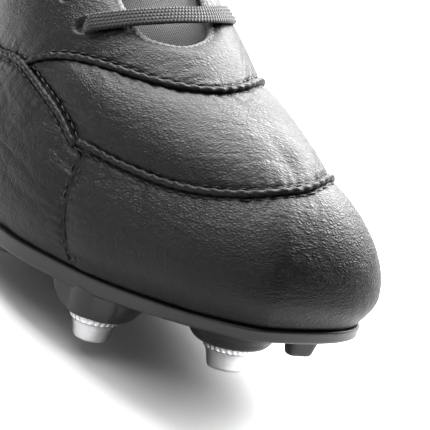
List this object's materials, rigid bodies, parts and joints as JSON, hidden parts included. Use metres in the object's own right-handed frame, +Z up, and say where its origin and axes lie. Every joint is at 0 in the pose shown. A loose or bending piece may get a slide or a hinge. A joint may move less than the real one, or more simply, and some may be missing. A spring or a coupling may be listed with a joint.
{
  "type": "football boot",
  "caption": "Black leather football boot for the right foot, lace-up, with stitched panels, a moulded sole plate and screw-in metal studs.",
  "frame": {"origin": "centre of the footprint, on the ground under the studs; the bow's free lace isn't counted", "axes": "+X points to the toe, +Y to the inner side of the foot, +Z up"},
  "size_m": [0.2892, 0.1052, 0.1351],
  "materials": {
    "black_leather": "full-grain, pebbled, satin",
    "piping_leather": "rolled seam, stitched",
    "lining_textile": "fine ribbed textile",
    "tongue_textile": "fine ribbed textile, padded",
    "stiffener_board": "fibre board",
    "insole_foam": "textile-covered foam",
    "moulded_sole": "moulded polyurethane, satin",
    "steel_insert": "machined thread",
    "stud_aluminium": "turned, bright",
    "black_lace": "flat braid",
    "aglet_plastic": "gloss"
  },
  "bodies": {
    "boot": {"aglet_inner": "aglet_plastic", "aglet_outer": "aglet_plastic", "ankle_panel_inner": "black_leather", "ankle_panel_outer": "black_leather", "collar_lining": "lining_textile", "forefoot_panel": "black_leather", "heel_counter": "stiffener_board", "heel_cover": "black_leather", "insole_board": "stiffener_board", "instep_panel": "black_leather", "lace_bar": "black_lace", "lace_cross_1_inner": "black_lace", "lace_cross_1_outer": "black_lace", "lace_cross_2_inner": "black_lace", "lace_cross_2_outer": "black_lace", "lace_cross_3_inner": "black_lace", "lace_cross_3_outer": "black_lace", "lace_end_inner": "black_lace", "lace_end_outer": "black_lace", "lace_knot": "black_lace", "lace_loop_inner": "black_lace", "lace_loop_outer": "black_lace", "lace_top_inner": "black_lace", "lace_top_outer": "black_lace", "quarter_inner": "black_leather", "quarter_outer": "black_leather", "seam_rib_front": "piping_leather", "seam_rib_inner": "piping_leather", "seam_rib_outer": "piping_leather", "seam_rib_rear": "piping_leather", "socket_ball_inner": "steel_insert", "socket_ball_outer": "steel_insert", "socket_front_inner": "steel_insert", "socket_front_outer": "steel_insert", "socket_heel_inner": "steel_insert", "socket_heel_outer": "steel_insert", "sockliner": "insole_foam", "soleplate": "moulded_sole", "toe_panel": "black_leather", "toe_puff": "stiffener_board", "toe_stud": "moulded_sole", "vamp_lining": "lining_textile"},
    "tongue": {"tongue": "tongue_textile"},
    "post_front_outer": {"stud_post_front_outer": "steel_insert"},
    "cone_front_outer": {"stud_cone_front_outer": "stud_aluminium"},
    "post_front_inner": {"stud_post_front_inner": "steel_insert"},
    "cone_front_inner": {"stud_cone_front_inner": "stud_aluminium"},
    "post_ball_outer": {"stud_post_ball_outer": "steel_insert"},
    "cone_ball_outer": {"stud_cone_ball_outer": "stud_aluminium"},
    "post_ball_inner": {"stud_post_ball_inner": "steel_insert"},
    "cone_ball_inner": {"stud_cone_ball_inner": "stud_aluminium"},
    "post_heel_outer": {"stud_post_heel_outer": "steel_insert"},
    "cone_heel_outer": {"stud_cone_heel_outer": "stud_aluminium"},
    "post_heel_inner": {"stud_post_heel_inner": "steel_insert"},
    "cone_heel_inner": {"stud_cone_heel_inner": "stud_aluminium"}
  },
  "joints": [
    {"name": "tongue_tilt", "type": "hinge", "parent": "boot", "child": "tongue", "pos_m": [0.06935, -0.00481, 0.07505], "axis": [0, 1, 0], "range_deg": [-12, 0], "stiffness_Nm_per_rad": 0.05},
    {"name": "front_outer_thread_travel", "type": "slide", "parent": "boot", "child": "post_front_outer", "axis": [0.1311, 0, -0.9914], "range_m": [0, 0.00641]},
    {"name": "front_outer_turn", "type": "hinge", "parent": "post_front_outer", "child": "cone_front_outer", "pos_m": [0.09455, -0.02681, 0.02119], "axis": [0.1311, 0, -0.9914], "range_deg": [0, 2880]},
    {"name": "front_inner_thread_travel", "type": "slide", "parent": "boot", "child": "post_front_inner", "axis": [0.2075, 0, -0.9782], "range_m": [0, 0.00641]},
    {"name": "front_inner_turn", "type": "hinge", "parent": "post_front_inner", "child": "cone_front_inner", "pos_m": [0.11315, 0.00899, 0.02445], "axis": [0.2075, 0, -0.9782], "range_deg": [0, 2880]},
    {"name": "ball_outer_thread_travel", "type": "slide", "parent": "boot", "child": "post_ball_outer", "axis": [0, 0, -1], "range_m": [0, 0.00641]},
    {"name": "ball_outer_turn", "type": "hinge", "parent": "post_ball_outer", "child": "cone_ball_outer", "pos_m": [0.02535, -0.03081, 0.01505], "axis": [0, 0, -1], "range_deg": [0, 2880]},
    {"name": "ball_inner_thread_travel", "type": "slide", "parent": "boot", "child": "post_ball_inner", "axis": [0, 0, -1], "range_m": [0, 0.00641]},
    {"name": "ball_inner_turn", "type": "hinge", "parent": "post_ball_inner", "child": "cone_ball_inner", "pos_m": [0.03535, 0.02319, 0.01505], "axis": [0, 0, -1], "range_deg": [0, 2880]},
    {"name": "heel_outer_thread_travel", "type": "slide", "parent": "boot", "child": "post_heel_outer", "axis": [0, 0, -1], "range_m": [0, 0.00641]},
    {"name": "heel_outer_turn", "type": "hinge", "parent": "post_heel_outer", "child": "cone_heel_outer", "pos_m": [-0.10465, -0.02081, 0.01905], "axis": [0, 0, -1], "range_deg": [0, 2880]},
    {"name": "heel_inner_thread_travel", "type": "slide", "parent": "boot", "child": "post_heel_inner", "axis": [0, 0, -1], "range_m": [0, 0.00641]},
    {"name": "heel_inner_turn", "type": "hinge", "parent": "post_heel_inner", "child": "cone_heel_inner", "pos_m": [-0.10465, 0.01619, 0.01905], "axis": [0, 0, -1], "range_deg": [0, 2880]}
  ],
  "couplings": [
    {"joint": "front_outer_thread_travel", "follows": "front_outer_turn", "m_per_rad": 0.00012732},
    {"joint": "front_inner_thread_travel", "follows": "front_inner_turn", "m_per_rad": 0.00012732},
    {"joint": "ball_outer_thread_travel", "follows": "ball_outer_turn", "m_per_rad": 0.00012732},
    {"joint": "ball_inner_thread_travel", "follows": "ball_inner_turn", "m_per_rad": 0.00012732},
    {"joint": "heel_outer_thread_travel", "follows": "heel_outer_turn", "m_per_rad": 0.00012732},
    {"joint": "heel_inner_thread_travel", "follows": "heel_inner_turn", "m_per_rad": 0.00012732}
  ]
}
